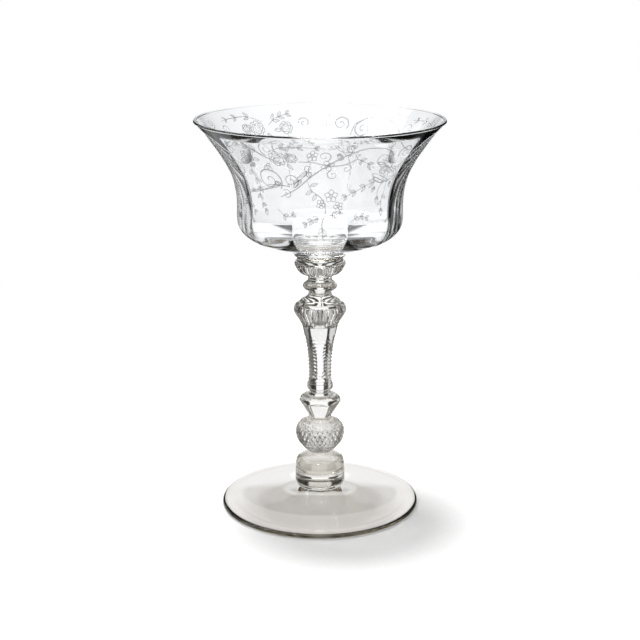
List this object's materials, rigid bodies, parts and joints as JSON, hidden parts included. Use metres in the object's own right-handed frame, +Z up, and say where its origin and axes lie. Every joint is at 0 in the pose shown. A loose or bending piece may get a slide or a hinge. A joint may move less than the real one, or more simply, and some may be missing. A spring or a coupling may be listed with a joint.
{
  "type": "champagne coupe glass",
  "caption": "Clear stemmed champagne coupe with a flared etched bowl, a pressed stem of knops and a notched column, and a spread disc foot.",
  "frame": {"origin": "centre of the foot's underside, on the table", "axes": "+Z up along the stem, from the foot to the rim; -Y is the front, with the middle of a stem flat and of a bowl panel facing it"},
  "size_m": [0.1, 0.1, 0.162],
  "materials": {
    "bowl_glass": "clear polished, thin",
    "stem_glass": "clear pressed",
    "foot_glass": "clear polished",
    "etched_glass": "frosted etching on the bowl's outside"
  },
  "bodies": {
    "root": {"foot": "foot_glass", "foot_post": "stem_glass", "stem": "stem_glass", "bowl_wafer": "stem_glass", "bowl": "bowl_glass"}
  },
  "joints": []
}
